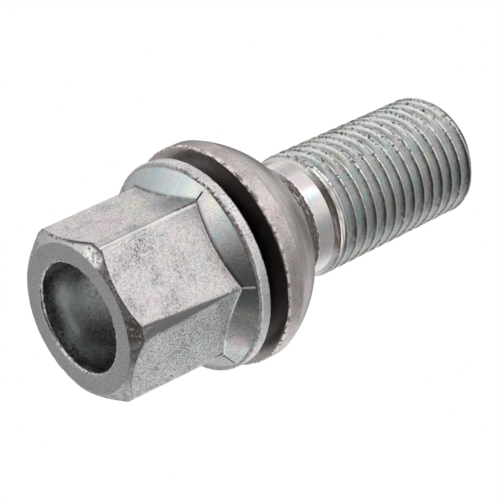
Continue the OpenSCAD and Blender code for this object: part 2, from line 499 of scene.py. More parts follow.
def flare_zinc(colours):
    """Flare: smooth and iridescent, with a dark crease of painted shade and a light ridge of
    painted highlight between facets.
    """
    finish = Finish("flare_zinc")
    upper = finish.facing(210, 27, 5)
    finish.tone = film(finish, colours, 0.4, 0.75)
    finish.lay(0.22 + upper * 0.33, colours.sea, 1.14)
    lower = finish.facing(330, 28, 3)
    finish.lay(lower * 0.5, colours.zinc, 1.06)
    finish.lay(finish.facing(333, 4, 12) * 0.62, colours.zinc, 0.3)
    finish.lay(finish.spot(212, 10.9, 14.1, 0.4, 1.4) * 0.45, VIOLET)
    golden = finish.spot(234, 10.35, 13.6, 0.3, 1.2) + finish.spot(251, 10.5, 13.8, 0.4, 1.3)
    finish.lay(golden * 0.5, GOLDEN)
    fine = finish.patches(0.16, 3.0, 0.46, 0.62, shift=3.0)
    finish.lay(fine * (0.16 + lower * 0.14 - upper * 0.08), colours.soot_and_shade)
    finish.lay(finish.spot(342, 10.0, 13.5, 0.3, 1.1) * 0.45, colours.pink)
    finish.lay(finish.spot(345, 10.9, 14.1, 0.2, 0.9) * 0.5, MINT)
    pepper = finish.patches(0.14, 2.0, 0.58, 0.7)
    amount = 0.45 + finish.facing(290, 9, 8) * 0.4 + lower * 0.2 - upper * 0.25
    finish.lay(pepper * amount, colours.soot_and_shade)
    smear = finish.patches(0.9, 5.0, 0.15, 0.5, shift=6.0) * (1 - lower)
    # Dark at the flare's foot: partly dirt in the crease, partly painted shade.
    grime = finish.attribute("grime")
    finish.lay(grime.math("POWER", 0.6) * smear * 0.85, colours.soot_and_shade)
    seam = finish.attribute("worn") * (0.3 + finish.facing(262, 26, 12) * 0.55)
    finish.lay(seam * finish.patches(0.7, 4.0, 0.25, 0.5), colours.rust, 1.3)
    # Painted shade: a dark line on the crease at the 240° corner.
    crease = finish.facing(240.3, 0.25, 0.55) * finish.span(finish.radius, 9.7, 9.95, 10.7, 10.95)
    finish.lay(crease, colours.soot_and_shade)
    # Painted shade: a dark arch along the crease at the 0° corner.
    arch = finish.facing(0, 0.4, 0.5) * finish.span(finish.radius, 9.5, 9.7, 10.9, 11.2)
    finish.lay(arch * 0.9, colours.soot_and_shade)
    # Painted highlight: a pale line on the ridge at the 300° corner, made matt below so its colour
    # shows.
    ridge = finish.facing(300, 0.25, 0.5) * finish.ramp(finish.radius, 9.75, 9.95)
    ridge = ridge * finish.ramp(finish.radius, 11.1, 10.9) * 0.9
    finish.lay(ridge, RIDGE_HIGHLIGHT_WHITE)
    return finish.metal(0.24 + pepper * 0.2, finish.grain(0.6, 2.0), ridge, depth=0.01)


def end_zinc(colours):
    """End face: pressed flat, satin grey with a fine grain."""
    finish = Finish("end_zinc")
    drift = finish.grain(3.0, 2.0)
    fine = finish.grain(0.15, 3.0)
    finish.tone = finish.mix(drift, darker(colours.pressed, 1.18), darker(colours.pressed, 0.9))
    finish.lay(finish.ramp(fine, 0.48, 0.64) * 0.65, colours.soot_and_shade)
    finish.lay(finish.ramp(fine, 0.44, 0.34) * 0.5, colours.zinc)
    worn = finish.attribute("worn")
    bright = finish.patches(0.35, 2.0, 0.5, 0.62)
    finish.lay(worn * bright * 0.6, colours.zinc)
    return finish.metal(0.4 + fine * 0.1, fine, depth=0.012)


def battered_zinc(colours):
    """Chamfer: pale and worn, bright burrs at one corner, partly bare metal and partly painted
    glints, a rusty crust from there to the next.
    """
    finish = Finish("battered_zinc")
    crumbs = finish.grain(0.28, 3.0)
    blotch = finish.patches(0.5, 4.0, 0.42, 0.6, shift=8.0)
    finish.tone = finish.mix(blotch, darker(colours.zinc, 0.6), darker(colours.zinc, 0.92))
    finish.lay(finish.facing(318, 22, 8) * 0.6, colours.zinc, 0.4)
    finish.lay(finish.facing(208, 28, 8) * 0.5, colours.zinc, 1.2)
    front = finish.facing(275, 20, 8)
    finish.lay(front * 0.75, colours.pressed, 0.9)
    # Bright burrs: partly bare metal, partly painted glints.
    finish.lay(finish.facing(241, 5, 5) * blotch, GLINT_WHITE)
    edge = finish.attribute("grime")
    patch = finish.facing(297, 6, 6)
    where = (edge * finish.facing(262, 42, 12)).most(patch).most(front * 0.75)
    rusty = where * finish.patches(0.6, 4.0, 0.22, 0.46)
    dots = edge * finish.facing(204, 32, 8) * finish.patches(0.45, 3.0, 0.44, 0.51, shift=5.0)
    rusty = rusty.most(dots * 0.9)
    sooty = finish.patches(0.2, 2.0, 0.36, 0.6)
    crust = finish.mix(sooty, darker(colours.rust, 1.5), colours.soot_and_shade)
    finish.lay(rusty * 0.9, crust)
    specks = finish.patches(0.2, 2.0, 0.6, 0.68, shift=3.0)
    finish.lay(specks * 0.7, colours.soot_and_shade)
    glints = finish.patches(0.2, 3.0, 0.58, 0.64, shift=12.0)
    finish.lay(glints * (patch * 0.6 + front * 0.8), colours.zinc)
    dirt = (rusty * 0.8 + specks).least(1.0)
    lumps = finish.grain(0.3, 5.0, shift=14.0) * patch
    return finish.metal(0.38 + dirt * 0.25, crumbs + lumps * 2.5, dirt, depth=0.03)


def hollow_zinc(colours):
    """Hollow: streaked, dirty at its mouth, darker towards its floor, with a painted gleam of
    reflected light on one side.
    """
    finish = Finish("hollow_zinc")
    streak = finish.grain(0.45, 3.0, stretch=(1, 1, 0.1))
    # Painted reflection: a pale band, gleam, glow and streak on one side, where light from the
    # mouth would fall.
    band = finish.span(finish.z, 1.4, 2.3, 2.6, 5.0)
    side = finish.facing(111, 15, 20) * band
    finish.tone = finish.mix(streak, darker(colours.bright, 0.8), darker(colours.bright, 0.97))
    gleam = finish.spot(121, 5.85, 2.8, 0.2, 1.4)
    glow = finish.spot(117, 5.85, 4.2, 0.5, 1.7)
    ray = finish.span(finish.z, 2.2, 2.5, 2.75, 3.2) * finish.facing(107, 24, 8)
    finish.lay(side + gleam + glow * 0.7 + ray * 0.6, GLEAM_WHITE)
    dirt = finish.patches(0.4, 4.0, 0.5, 0.62)
    mouth = finish.ramp(finish.z, 1.9, 1.0)
    finish.lay(mouth * 0.45, colours.soot_and_shade)
    finish.lay(dirt * (0.08 + mouth * 0.6), colours.soot_and_shade)
    # Darker towards the floor.
    deep = finish.ramp(finish.z, 6.0, 11.0)
    finish.lay(deep * (1 - side) * 0.4, colours.soot_and_shade)
    worn = finish.attribute("worn")
    finish.lay(worn * finish.patches(0.4, 2.0, 0.4, 0.6), colours.zinc)
    stain = worn * finish.patches(0.22, 2.0, 0.55, 0.65, shift=5.0)
    finish.lay(stain * 0.85, colours.rust)
    # The painted gleam is made matt along with the stains, so its colour shows.
    matt_stain_and_gleam = stain.most(side * 0.5 + gleam * 0.5 + glow * 0.4 + ray * 0.4)
    return finish.metal(0.22 + dirt * 0.1, streak, matt_stain_and_gleam, depth=0.01)


def rim_zinc(colours):
    """Flange: rough and speckled, with brown pits along its front edge and a dark underside,
    partly an oily film, partly painted shade.
    """
    finish = Finish("rim_zinc")
    finish.tone = film(finish, colours, 0.45, 0.3)
    rough = finish.grain(0.26, 3.0)
    finish.lay(finish.ramp(rough, 0.38, 0.68) * 0.4, colours.zinc, 0.45)
    finish.lay(finish.patches(0.8, 4.0, 0.44, 0.64, shift=4.0) * 0.3, colours.zinc, 0.5)
    front = finish.ramp(finish.radius, 11.5, 11.38) * finish.ramp(finish.z, 14.6, 14.4)
    where = 0.22 + finish.facing(277, 50, 12) * 0.78
    pits = finish.patches(0.45, 6.0, 0.44, 0.54, shift=2.0) * front * where
    finish.lay(pits * 0.95, colours.rust)
    specks = finish.patches(0.22, 3.0, 0.57, 0.65, shift=6.0) * finish.facing(300, 50, 20)
    finish.lay(specks * 0.6, colours.soot_and_shade)
    bright = finish.patches(0.3, 4.0, 0.5, 0.6, shift=7.0)
    finish.lay(bright * 0.45, RIM_WHITE)
    finish.lay(finish.facing(306, 16, 14) * 0.35, colours.zinc, 1.3)
    # Painted shade: the underside is near black, most towards 290°; partly an oily film.
    back = finish.ramp(finish.z, 15.44, 15.49)
    greasy_and_shaded = 0.6 + finish.facing(290, 62, 14) * 0.38
    finish.lay(back * greasy_and_shaded, colours.soot_and_shade, 0.2)
    return finish.metal(0.36 + pits * 0.3, rough, pits, depth=0.03)


def shank_zinc(colours):
    """Shank: smooth, dark under the ring partly as an oily film, partly as painted shade, with a
    brown band that the ring's nose rubbed.
    """
    finish = Finish("shank_zinc")
    finish.tone = film(finish, colours, 0.35, 0.5)
    lines = finish.grain(0.3, 2.0, stretch=(0.12, 0.12, 1))
    finish.lay(finish.ramp(lines, 0.5, 0.75) * 0.25, colours.zinc, 0.5)
    specks = finish.patches(0.14, 2.0, 0.6, 0.7)
    finish.lay(specks * 0.35, colours.soot_and_shade)
    # Darker below 24.6 mm, on the cone under the flange and inside the ring: partly an oily film,
    # partly painted shade.
    grease_and_shade = finish.ramp(finish.z, 24.6, 20.0)
    finish.lay(grease_and_shade * 0.8, colours.soot_and_shade)
    ragged = finish.z + finish.grain(0.45, 4.0, shift=4.0) * 0.7
    side = 0.35 + finish.facing(288, 36, 28) * 0.65
    rubbed = finish.ramp(ragged, 27.42, 27.34) * finish.ramp(finish.z, 24.4, 25.0) * side
    lip = finish.span(ragged, 27.36, 27.42, 27.54, 27.62)
    crust = rubbed * finish.patches(0.3, 4.0, 0.34, 0.5, stretch=(0.5, 0.5, 1.5))
    finish.lay(rubbed * 0.65, colours.zinc, 0.35)
    finish.lay(crust * 0.9, colours.rust, 0.8)
    finish.lay(lip * 0.7, colours.worn)
    return finish.metal(0.21 + lines * 0.08 + crust * 0.3, lines + crust, crust * 0.8, depth=0.012)


def thread_zinc(colours):
    """Thread: bright green-grey flanks, pale crests with dark pits beside them, dark run-out
    partly as painted shade, a painted highlight on the first crest, painted shade below and
    painted highlights and shade above.
    """
    finish = Finish("thread_zinc")
    crest = finish.attribute("crest")
    finish.tone = film(finish, colours, 0.9, 1.0)
    finish.lay(0.25, colours.sea)
    finish.lay(0.45, colours.bright)
    # Painted shade: the lower side of the thread is darker and bluer.
    finish.lay(finish.facing(302, 28, 34) * 0.26, colours.sea, 0.25)
    finish.lay(finish.facing(345, 12, 12) * 0.32, colours.sea, 0.25)
    # Painted highlights and painted shade on the upper side of the thread.
    upper = finish.facing(231, 9, 13)
    shade = finish.ramp(crest, 0.6, 0.25) + finish.ramp(crest, 0.86, 0.97)
    finish.lay(upper * shade * 0.52, colours.sea, 0.3)
    finish.lay(upper * finish.ramp(crest, 0.5, 0.75) * (1 - shade) * 0.6, THREAD_HIGHLIGHT_WHITE)
    mottle = finish.patches(0.5, 4.0, 0.44, 0.66)
    finish.lay(mottle * 0.18, colours.zinc, 0.5)
    specks = finish.patches(0.16, 2.0, 0.6, 0.7)
    finish.lay(specks * 0.35, colours.soot_and_shade)
    beside = finish.span(crest, 0.66, 0.82, 0.92, 0.98)
    broken = finish.patches(0.35, 4.0, 0.4, 0.6, shift=2.0)
    spared = 1 - finish.facing(254, 12, 12) * 0.5
    finish.lay(beside * spared * (0.28 + broken * 0.45), colours.rust)
    # Darker at the roots.
    finish.lay(finish.ramp(crest, 0.1, 0.0) * 0.25, colours.soot_and_shade)
    finish.lay(finish.ramp(crest, 0.96, 0.99) * 0.15, colours.worn)
    chipped = finish.facing(228, 32, 24) * finish.patches(0.36, 3.0, 0.55, 0.6, shift=8.0)
    chips = chipped * finish.ramp(crest, 0.6, 0.85)
    finish.lay(chips * 0.85, colours.soot_and_shade)
    tip = finish.ramp(finish.z, 50.0, 50.4) * finish.patches(0.3, 4.0, 0.3, 0.6, shift=1.0)
    finish.lay(tip * 0.5, colours.zinc, 0.25)
    # The run-out is darkened, most towards 285°: partly brown colour, partly painted shade.
    start = finish.ramp(finish.z, 29.92, 29.86) * (0.25 + finish.facing(285, 34, 12) * 0.75)
    # Painted highlight: the first crest after the run-out is bright, most towards 282°.
    first = finish.span(finish.z, 29.87, 29.93, 30.54, 30.62) * finish.facing(282, 34, 10)
    finish.lay(first * 0.95, FIRST_CREST_HIGHLIGHT)
    lines = 0.55 + finish.patches(0.22, 3.0, 0.38, 0.58, stretch=(0.12, 0.12, 1)) * 0.45
    finish.lay(start * lines * 0.9, colours.rust)
    # The run-out's painted shade is made matt along with the chips.
    dirt = (start * lines * 0.6).most(chips)
    return finish.metal(0.24 + dirt * 0.2, finish.grain(0.25, 2.0), dirt, depth=0.01)


def turned_steel(colours):
    """Ring: turned lines round it, brown and satin at its back, oily inside, with painted shadow
    and shade on its side, back, ball seat and inside, and painted highlights on its worn edges.
    """
    finish = Finish("turned_steel")
    lines = finish.grain(0.2, 3.0, stretch=(0.05, 0.05, 1))
    ball = finish.ramp(finish.z, 19.1, 19.5)
    finish.tone = finish.mix(ball, colours.turned, colours.ball)
    stain = finish.patches(1.6, 3.0, 0.38, 0.68)
    finish.lay(stain * 0.42, colours.turned, 0.6)
    blush = finish.patches(0.9, 3.0, 0.44, 0.62, shift=4.0)
    finish.lay(blush * 0.3, colours.pink)
    finish.lay(finish.ramp(lines, 0.48, 0.72) * (0.15 + ball * 0.35), colours.ball, 0.35)
    side = finish.ramp(finish.z, 17.4, 17.55)
    # Painted shadow on the ring's side near 193°.
    finish.lay(finish.facing(193, 14, 16) * side * (1 - ball) * 0.8, colours.turned, 0.35)
    # Painted shade: the ring's back is darker towards 290°, where the flange hides it.
    finish.lay(finish.facing(290, 38, 35) * (1 - side) * 0.52, colours.soot_and_shade, 0.8)
    # Painted shade: a darker band on the ball seat near 226°.
    shaded_band = finish.span(finish.z, 21.0, 21.6, 24.0, 24.9) * finish.facing(226, 14, 14)
    finish.lay(shaded_band * 0.3, colours.ball, 0.5)
    turned = finish.patches(0.7, 2.0, 0.46, 0.6, stretch=(0.03, 0.03, 1), shift=9.0) * ball
    finish.lay(turned * 0.22, colours.ball, 0.5)
    fine = finish.patches(0.17, 3.0, 0.48, 0.62)
    finish.lay(fine * (1 - ball * 0.6) * 0.48, colours.turned, 0.35)
    worn = finish.attribute("worn")
    flecks = finish.patches(0.6, 4.0, 0.44, 0.62)
    # Light line on the worn edges at the nose and the back: partly bare worn metal, partly painted
    # highlight.
    finish.lay(worn * (1 - flecks) * 0.7, WORN_EDGE_HIGHLIGHT)
    crust = worn * flecks
    finish.lay(crust * (0.35 + fine * 0.35), colours.rust, 1.3)
    # Near black inside the ring and on its back near the bore: partly an oily film, partly painted
    # shade.
    finish.lay(finish.attribute("grime") * 0.98, colours.soot_and_shade, 0.2)
    return finish.metal(0.32 + crust * 0.3, lines, crust, depth=0.012)


def soft_least(a, b, reach):
    """The smaller of two arrays, rounded off where they are within reach of each other."""
    blend = np.clip(0.5 + 0.5 * (b - a) / reach, 0, 1)
    return b + (a - b) * blend - reach * blend * (1 - blend)


def soft_most(a, b, reach):
    return -soft_least(-a, -b, reach)


def arc(centre, radius, start, end, steps):
    """Points of an arc in half section, from one angle in degrees to another."""
    turn = np.radians(np.linspace(start, end, steps))
    return [(centre[0] + radius * math.cos(t), centre[1] + radius * math.sin(t)) for t in turn]


def line(start, end, steps):
    """Points of a straight stretch in half section, without its first point."""
    shares = np.linspace(0, 1, steps + 1)[1:]
    return [tuple(a + (b - a) * s for a, b in zip(start, end)) for s in shares]


class Skin:
    """Rings of points round the axis, joined in order into one closed skin."""

    def __init__(self, angles):
        self.angles = angles
        self.rings = []
        self.worn = []
        self.grime = []
        self.bands = []

    def add(self, radius, height, band, worn=0.0, grime=0.0):
        """Adds a ring. Band names the finish of the strip before it. Wear and dirt marks go up to
        1; the dirt marks also place painted shade.
        """
        size = len(self.angles)
        given = (radius, height, worn, grime)
        radius, height, worn, grime = (np.broadcast_to(np.asarray(v, float), size) for v in given)
        east, north = radius * np.cos(self.angles), radius * np.sin(self.angles)
        self.rings.append(np.stack([east, north, height], axis=1))
        self.worn.append(worn)
        self.grime.append(grime)
        self.bands.append(band)

    def follow(self, section, band, worn=0.0, grime=0.0):
        for radius, height in section:
            self.add(radius, height, band, worn, grime)

    def outward(self, points):
        """Outward directions at every point, from its neighbours along and round the skin."""
        along = np.gradient(points, axis=0)
        round_axis = np.roll(points, -1, axis=1) - np.roll(points, 1, axis=1)
        normal = np.cross(round_axis, along)
        size = np.linalg.norm(normal, axis=2, keepdims=True)
        return normal / np.maximum(size, 1e-12)

    def build(self, name, bands, carve):
        """Makes the object, closed on the axis at both ends. Carve gives each point's depth."""
        points, worn = np.array(self.rings), np.array(self.worn)
        points = points - self.outward(points) * carve(points, worn)[..., None]
        rows, columns = worn.shape
        number = np.arange(rows * columns).reshape(rows, columns)
        beside = np.roll(number, -1, axis=1)
        quads = np.stack([number[:-1], beside[:-1], beside[1:], number[1:]], axis=2).reshape(-1, 4)
        poles = [(0, 0, points[0, 0, 2]), (0, 0, points[-1, 0, 2])]
        first, last = rows * columns, rows * columns + 1
        fans = [(first, b, a) for a, b in zip(number[0], beside[0])]
        fans += [(last, a, b) for a, b in zip(number[-1], beside[-1])]
        mesh = bpy.data.meshes.new(name)
        mesh.from_pydata(points.reshape(-1, 3).tolist() + poles, [], quads.tolist() + fans)
        for band in bands.values():
            mesh.materials.append(band)
        order = list(bands)
        index = np.repeat([order.index(b) for b in self.bands[1:]], columns).tolist()
        index += [order.index(self.bands[0])] * columns + [order.index(self.bands[-1])] * columns
        mesh.polygons.foreach_set("material_index", index)
        mesh.polygons.foreach_set("use_smooth", [True] * len(index))
        for label, amount in (("worn", worn), ("grime", np.array(self.grime))):
            marks = mesh.attributes.new(label, "FLOAT", "POINT")
            marks.data.foreach_set("value", np.append(amount.reshape(-1), [0, 0]))
        mesh.set_sharp_from_angle(angle=SHARP_ANGLE)
        return add_object(name, mesh)


def crumble(points, size, low, high):
    """Noise on the points, from 0 below low to 1 above high."""
    flat = points.reshape(-1, 3) / size
    value = np.array([noise.fractal(Vector(p), 1.0, 2.0, 3) for p in flat]) * 0.5 + 0.5
    return np.clip((value - low) / (high - low), 0, 1).reshape(points.shape[:-1])


def head_angles(steps=52, crowding=0.7):
    """Angles round the head in radians, crowded towards the six corners."""
    t = np.linspace(-1, 1, steps, endpoint=False)
    within = 30 * (t + crowding * np.sin(math.pi * t) / math.pi)
    return np.radians(np.concatenate([within + middle for middle in FLAT_ANGLES]))


class Hexagon:
    """The worn hexagon and the six cones of its flare, at given angles round the head."""

    def __init__(self, sizes, angles):
        sixth = math.pi / 3
        self.sizes = sizes
        self.turn = (angles - math.radians(30) + sixth / 2) % sixth - sixth / 2
        away = (np.degrees(angles)[:, None] - BATTERED_CORNERS + 180) % 360 - 180
        self.battered = np.exp(-((away / BATTERED_REACH) ** 2)).max(axis=1)

    def flats(self, height):
        """Radius of the flats, with their corners rounded by wear towards the end face."""
        sizes = self.sizes
        toward_end = np.clip(1 - height / sizes.flat_height, 0, 1)
        land = sizes.land_radius - sizes.land_wear * (0.5 + 0.5 * self.battered) * toward_end
        return soft_least(sizes.flat_radius / np.cos(self.turn), land, sizes.corner_blend)

    def flare(self, height):
        """Radius of the flare's cones at a height."""
        sizes = self.sizes
        offset = sizes.flare_offset
        spread = (height - sizes.flat_height) * math.tan(sizes.flare_angle)
        reach = sizes.flat_radius + offset + spread
        inside = np.maximum(reach**2 - (offset * np.sin(self.turn)) ** 2, 0)
        return np.sqrt(inside) - offset * np.cos(self.turn)

    def flare_foot(self):
        """Height at which the flare's cones leave the flats."""
        sizes = self.sizes
        radius = self.flats(sizes.flat_height)
        offset = sizes.flare_offset
        reach = np.sqrt(radius**2 + 2 * radius * offset * np.cos(self.turn) + offset**2)
        spread = reach - sizes.flat_radius - offset
        return sizes.flat_height + spread / math.tan(sizes.flare_angle)


def hollow_rings(skin, sizes):
    """The blind hollow, from the middle of its floor to its rounded mouth."""
    wall = sizes.hollow_radius
    floor = sizes.hollow_depth
    point = (0.1 * wall, floor + 0.9 * sizes.hollow_point)
    skin.follow([point], "hollow")
    skin.follow(line(point, (wall, floor), 5), "hollow")
    skin.follow(line((wall, floor), (wall, sizes.hollow_lip), 14), "hollow")
    lip = arc((wall + sizes.hollow_lip, sizes.hollow_lip), sizes.hollow_lip, 180, 270, 6)
    skin.follow(lip[1:], "hollow", 1.0)


def end_rings(skin, sizes, hexagon):
    """The end face and the chamfer round it."""
    start = sizes.hollow_radius + sizes.hollow_lip
    wear = {0.06: 0.8, 0.15: 0.1, 0.35: 0, 0.55: 0, 0.75: 0, 0.88: 0, 0.95: 0.3}
    for part, worn in wear.items():
        skin.add(start + (sizes.end_radius - start) * part, 0, "end", worn)
    edge = hexagon.flats(CHAMFER_TOP)
    crust_width = 0.19 * MM
    for part in (0, 0.1, 0.25, 0.4, 0.55, 0.7, 0.85, 0.95):
        radius = sizes.end_radius + (edge - sizes.end_radius) * part
        height = (radius - sizes.end_radius) * math.tan(sizes.end_slope)
        near_flat = np.clip(1.7 - (edge - radius) / crust_width, 0, 1)
        skin.add(radius, height, "battered", 1.0, near_flat)


def wall_rings(skin, sizes, neck, hexagon):
    """The flats, the hollow corner above them and the flare."""
    start = (hexagon.flats(CHAMFER_TOP) - sizes.end_radius) * math.tan(sizes.end_slope)
    foot = hexagon.flare_foot()
    land_step, edge_wear = 0.04 * MM, 0.25 * MM
    for part in (0.0, 0.008, 0.02, 0.04, 0.07, *np.linspace(0.11, 0.97, 20), 1.0):
        height = start + (foot - FOOT_REACH - start) * part
        rounded = sizes.flat_radius / np.cos(hexagon.turn) - hexagon.flats(height)
        land = np.clip(rounded / land_step - 0.5, 0, 1)
        worn = np.maximum(land, 0.6 * np.clip(1 - (height - start) / edge_wear, 0, 1))
        band = "battered" if part == 0 else "flats"
        skin.add(hexagon.flats(height), height, band, worn, 1.0 if part == 0 else 0.0)
    for part in np.linspace(-0.8, 1, 10):
        height = foot + FOOT_REACH * part
        radius = soft_most(hexagon.flats(height), hexagon.flare(height), sizes.flare_blend)
        # Marks the flare's foot for dirt in the crease and for painted shade there.
        grime = max(0.0, 1 - abs(part - 0.1) / 0.6)
        skin.add(radius, height, "flats" if part < 0 else "flare", 0.0, grime)
    top = foot + FOOT_REACH
    for part in (0.2, 0.4, 0.6, 0.8, 0.93, 1.0):
        height = top + (neck.flange_front - top) * part
        skin.add(hexagon.flare(height), height, "flare", 0.9 if part == 1.0 else 0.0)


def flange_rings(skin, neck, hexagon):
    """The flange's front, its rounded rim and its underside."""
    corner = neck.flange_radius - neck.rim_round
    top = hexagon.flare(neck.flange_front)
    for part in (0.5, 1.0):
        skin.add(top + (corner - top) * part, neck.flange_front, "rim", 0.5)
    front = arc((corner, neck.flange_front + neck.rim_round), neck.rim_round, -90, 0, 6)
    back = arc((corner, neck.flange_back - neck.rim_round), neck.rim_round, 0, 90, 6)
    skin.follow(front[1:], "rim", 1.0)
    skin.follow(line(front[-1], back[0], 6), "rim", 0.3)
    skin.follow(back[1:], "rim", 1.0)
    skin.follow(line(back[-1], (neck.seat_radius, neck.flange_back), 3), "rim")


def neck_rings(skin, neck):
    """The cone under the flange, its fillet and the shank, with finer rings where it's rubbed."""
    start = (neck.seat_radius, neck.flange_back)
    corner = neck.flange_back + neck.seat_radius - neck.shank_radius
    half_bend = math.radians(22.5)
    run = neck.fillet * math.tan(half_bend)
    centre = (neck.shank_radius + neck.fillet, corner + run)
    fillet = arc(centre, neck.fillet, 225, 180, 6)
    skin.follow(line(start, fillet[0], 6), "shank")
    skin.follow(fillet[1:], "shank")
    below = fillet[-1]
    for height, steps in ((RUB_MIDDLE - MM, 8), (RUB_MIDDLE + MM, 12), (neck.shank_end, 4)):
        above = (neck.shank_radius, height)
        skin.follow(line(below, above, steps), "shank")
        below = above
    tuck_in, tuck_up = 0.2 * MM, 0.05 * MM
    skin.add(neck.shank_radius - tuck_in, neck.shank_end + tuck_up, "shank")


def build_forging(settings):
    """The bolt's forging: hollow, end face, hexagon, flare, flange, cone and shank."""
    sizes, neck = settings.bolt_head, settings.bolt_neck
    colours = settings.bolt_finish
    angles = head_angles()
    hexagon = Hexagon(sizes, angles)
    skin = Skin(angles)
    hollow_rings(skin, sizes)
    end_rings(skin, sizes, hexagon)
    wall_rings(skin, sizes, neck, hexagon)
    flange_rings(skin, neck, hexagon)
    neck_rings(skin, neck)

    def carve(points, worn):
        height = points[..., 2]
        battered = crumble(points, 0.6 * MM, 0.42, 0.72)
        head = np.clip((neck.flange_back - height) / (0.1 * MM), 0, 1)
        near_end = height < BATTERED_TOP
        rough = np.where(near_end, 0.25 + 0.75 * hexagon.battered, 0.35)
        rubbed = np.clip(1 - np.abs(height - RUB_MIDDLE) / RUB_REACH, 0, 1)
        return sizes.burr * battered * (head * worn**2 * rough + 0.2 * rubbed)

    bands = {
        "hollow": hollow_zinc(colours),
        "end": end_zinc(colours),
        "battered": battered_zinc(colours),
        "flats": flats_zinc(colours),
        "flare": flare_zinc(colours),
        "rim": rim_zinc(colours),
        "shank": shank_zinc(colours),
    }
    return skin.build("bolt_forging", bands, carve)


def thread_tree(values):
    """Geometry nodes of a right-hand thread: a grid whose rows follow the helix.

    Its inputs are named and typed after the given values. The grid's first and last rows are
    drawn in to the axis, which closes both ends.
    """
    tree = bpy.data.node_groups.new("rolled_thread", "GeometryNodeTree")
    tree.interface.new_socket(name="Geometry", in_out="OUTPUT", socket_type="NodeSocketGeometry")
    kinds = {float: "NodeSocketFloat", int: "NodeSocketInt"}
    for name, value in values.items():
        kind = kinds.get(type(value), "NodeSocketMaterial")
        tree.interface.new_socket(name=name, in_out="INPUT", socket_type=kind)

    graph = Graph(tree)
    group = tree.nodes.new("NodeGroupInput")
    given = {s.name: Wire(graph, s) for s in group.outputs if s.name}
    dent_size, tip_edge, weld = 1.1 * MM, 0.02 * MM, 0.002 * MM
    groove_end = 2.4
    pitch, depth, crest = given["Pitch"], given["Depth"], given["Crest Radius"]
    grid = graph.node(
        "GeometryNodeMeshGrid",
        inputs={
            "Size X": 1.0,
            "Size Y": 1.0,
            "Vertices X": given["Steps Round"] + 1,
            "Vertices Y": given["Turns"] * ROWS + 1,
        },
        output="Mesh",
    )
    across, along, _ = graph.parts(graph.node("GeometryNodeInputPosition"))
    turn = across + 0.5
    row = (along + 0.5) * given["Turns"]
    crest_count = row.math("ROUND")
    phase = row - crest_count
    away = phase.math("ABSOLUTE")

    crest_share = 1 / 16
    flank_share = depth * math.tan(math.radians(30)) / pitch
    root_share = 0.5 - crest_share - flank_share
    on_crest = graph.ramp(away, 0, CREST_END, smooth=False)
    on_flank = graph.ramp(away, CREST_END, FLANK_END, smooth=False)
    on_root = graph.ramp(away, FLANK_END, ROOT_END, smooth=False)
    shift = on_crest * crest_share + on_flank * flank_share + on_root * root_share
    shift = shift * phase.math("SIGN")
    first = given["Crest Height"] - 2 * pitch
    height = first + (crest_count + shift + turn) * pitch

    start, tip = given["Start"], given["Tip"]
    held = height.most(start).least(tip)
    swell = graph.ramp(held, start, start + given["Run-out"], smooth=False)
    outside = given["Shank Radius"] + swell * (crest - given["Shank Radius"])
    chamfer_start = tip - given["Tip Chamfer"]
    outside = outside - (held - chamfer_start).most(0.0)
    grooved = graph.ramp(held, start + given["Run-out"], start + given["Run-out"] * groove_end)
    root = crest - depth * grooved
    radius = (crest - depth * on_flank).most(root).least(outside)
    full = 1 - (crest - radius) / depth

    angle_now = turn * (2 * math.pi)
    east, north = angle_now.math("COSINE"), angle_now.math("SINE")

    def placed(radius):
        inputs = {"X": east * radius, "Y": north * radius, "Z": held}
        return graph.node("ShaderNodeCombineXYZ", inputs=inputs)

    dents = graph.node(
        "ShaderNodeTexNoise",
        {"noise_dimensions": "4D"},
        {"Vector": placed(radius), "W": 4.0, "Scale": 1 / dent_size, "Detail": 2.0},
    )
    nicks = graph.ramp(dents, 0.52, 0.75) * (1 - on_flank) * given["Nick"]
    radius = radius - nicks
    near, far = 0.4 / ROWS, 0.5 / ROWS
    last_row = graph.ramp(row, given["Turns"] - far, given["Turns"] - near, smooth=False)
    first_row = graph.ramp(row, far, near, smooth=False)
    closed = radius * (1 - last_row) * (1 - first_row)

    marked = graph.node(
        "GeometryNodeStoreNamedAttribute",
        {"data_type": "FLOAT", "domain": "POINT"},
        {"Geometry": grid, "Name": "crest", "Value": full},
    )
    shaped = graph.node(
        "GeometryNodeSetPosition", inputs={"Geometry": marked, "Position": placed(closed)}
    )
    joined = {"Geometry": shaped, "Distance": weld}
    merged = graph.node("GeometryNodeMergeByDistance", inputs=joined)
    bend = graph.node("GeometryNodeInputMeshEdgeAngle", output="Unsigned Angle")
    level = graph.parts(graph.node("GeometryNodeInputPosition"))[2]
    at_tip = level.math("GREATER_THAN", tip - tip_edge)
    crisp = bend.math("GREATER_THAN", SHARP_TIP_ANGLE) * at_tip
    smooth = graph.node(
        "GeometryNodeSetShadeSmooth",
        {"domain": "EDGE"},
        {"Geometry": merged, "Selection": crisp, "Shade Smooth": False},
    )
    real = graph.node("GeometryNodeRealizeInstances", inputs={"Geometry": smooth})
    finished = graph.node(
        "GeometryNodeSetMaterial", inputs={"Geometry": real, "Material": given["Material"]}
    )
    graph.node("NodeGroupOutput", inputs={"Geometry": finished})
    return tree


